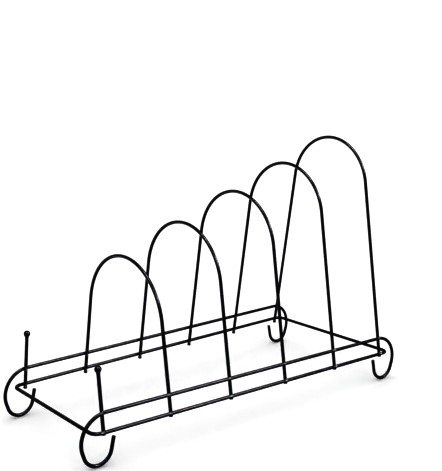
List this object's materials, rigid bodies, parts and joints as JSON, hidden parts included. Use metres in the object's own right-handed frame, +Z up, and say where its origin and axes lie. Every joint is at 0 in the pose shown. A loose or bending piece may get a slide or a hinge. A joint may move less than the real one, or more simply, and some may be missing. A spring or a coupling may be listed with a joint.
{
  "type": "plate rack",
  "caption": "Black steel wire plate rack: a row of arched hoops that grow taller, welded to a base frame and two rails with scroll feet, to store plates on edge.",
  "frame": {"origin": "centre of the rack's footprint, on the table that its scroll feet stand on", "axes": "+X along the row of hoops, from the posts towards the tallest hoop; +Y across the rack, from the front rail to the back rail; +Z up"},
  "size_m": [0.288, 0.128, 0.1926],
  "materials": {
    "black_paint": "satin"
  },
  "bodies": {
    "root": {"base_frame": "black_paint", "front_rail": "black_paint", "back_rail": "black_paint", "front_post": "black_paint", "back_post": "black_paint", "front_ball": "black_paint", "back_ball": "black_paint", "hoop_1": "black_paint", "hoop_2": "black_paint", "hoop_3": "black_paint", "hoop_4": "black_paint", "hoop_5": "black_paint"}
  },
  "joints": []
}
